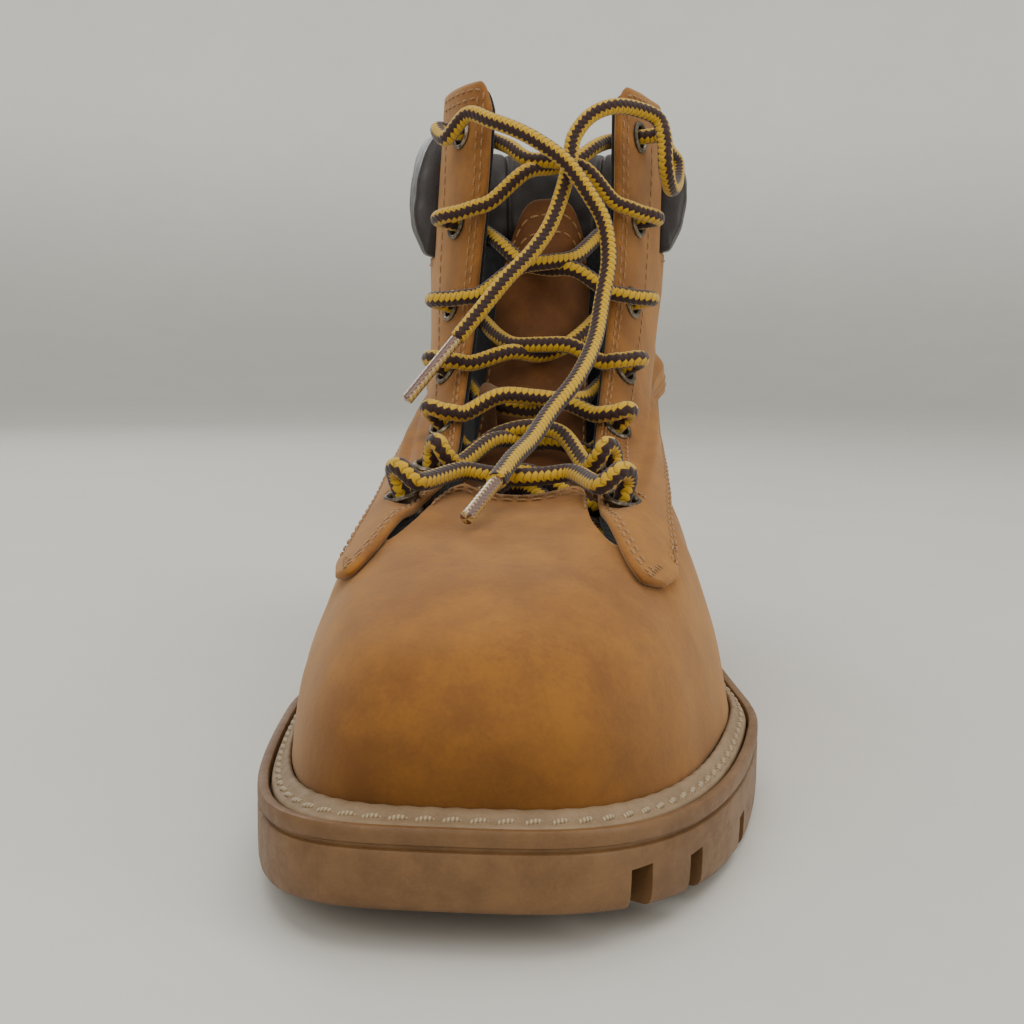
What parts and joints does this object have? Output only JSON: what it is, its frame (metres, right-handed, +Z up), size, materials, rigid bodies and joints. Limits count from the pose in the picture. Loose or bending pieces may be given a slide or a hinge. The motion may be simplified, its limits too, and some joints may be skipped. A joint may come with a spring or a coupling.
{
  "type": "steel toe work boot",
  "caption": "Left ankle-high lace-up work boot with a hidden steel toe cap, padded collar, welted lugged rubber sole and a hinged tongue.",
  "frame": {"origin": "on the floor, in the middle of the outsole's length and width", "axes": "+Z up, the toe points to -Y, the outer (lateral) side of the left foot is +X"},
  "size_m": [0.1087, 0.308, 0.1791],
  "materials": {
    "sole_rubber": "gum rubber, satin, slightly worn",
    "welt_strip": "greyish beige strip with cream stitching",
    "midsole_filler": "matt filler, hidden",
    "steel": "pressed steel",
    "fibre_board": "stiff fibre board",
    "footbed_foam": "black fabric over foam",
    "tan_nubuck": "tan nubuck, mottled, matt",
    "cap_edge_rubber": "soft strip behind the steel cap",
    "lining_fabric": "black lining",
    "eyelet_metal": "dark antique metal",
    "collar_leather": "smooth dark brown padded leather",
    "padding_foam": "foam and fabric padding",
    "tongue_leather": "brown soft leather",
    "lace_cord": "round lace, yellow with a dark red herringbone",
    "aglet_plastic": "clear plastic tip"
  },
  "bodies": {
    "boot": {"outsole": "sole_rubber", "welt": "welt_strip", "midsole": "midsole_filler", "shank": "steel", "insole_board": "fibre_board", "footbed": "footbed_foam", "vamp": "tan_nubuck", "toe_cap": "steel", "toe_cap_edge_strip": "cap_edge_rubber", "vamp_lining": "lining_fabric", "heel_lining": "lining_fabric", "heel_counter": "fibre_board", "quarter_lateral": "tan_nubuck", "quarter_lining_lateral": "lining_fabric", "eyelet_lateral_1": "eyelet_metal", "eyelet_lateral_2": "eyelet_metal", "eyelet_lateral_3": "eyelet_metal", "eyelet_lateral_4": "eyelet_metal", "eyelet_lateral_5": "eyelet_metal", "eyelet_lateral_6": "eyelet_metal", "eyelet_lateral_7": "eyelet_metal", "quarter_medial": "tan_nubuck", "quarter_lining_medial": "lining_fabric", "eyelet_medial_1": "eyelet_metal", "eyelet_medial_2": "eyelet_metal", "eyelet_medial_3": "eyelet_metal", "eyelet_medial_4": "eyelet_metal", "eyelet_medial_5": "eyelet_metal", "eyelet_medial_6": "eyelet_metal", "eyelet_medial_7": "eyelet_metal", "backstay": "tan_nubuck", "collar": "collar_leather", "collar_foam": "padding_foam", "lace": "lace_cord", "lace_end_medial": "lace_cord", "aglet_medial": "aglet_plastic", "lace_end_lateral": "lace_cord", "aglet_lateral": "aglet_plastic"},
    "tongue": {"tongue": "tongue_leather", "tongue_padding": "padding_foam", "lace_keeper": "tongue_leather"}
  },
  "joints": [
    {"name": "tongue_hinge", "type": "hinge", "parent": "boot", "child": "tongue", "pos_m": [-0.0025, -0.095, 0.05], "axis": [-1, 0, 0], "range_deg": [0, 10], "deforming": ["lace_keeper"]}
  ]
}
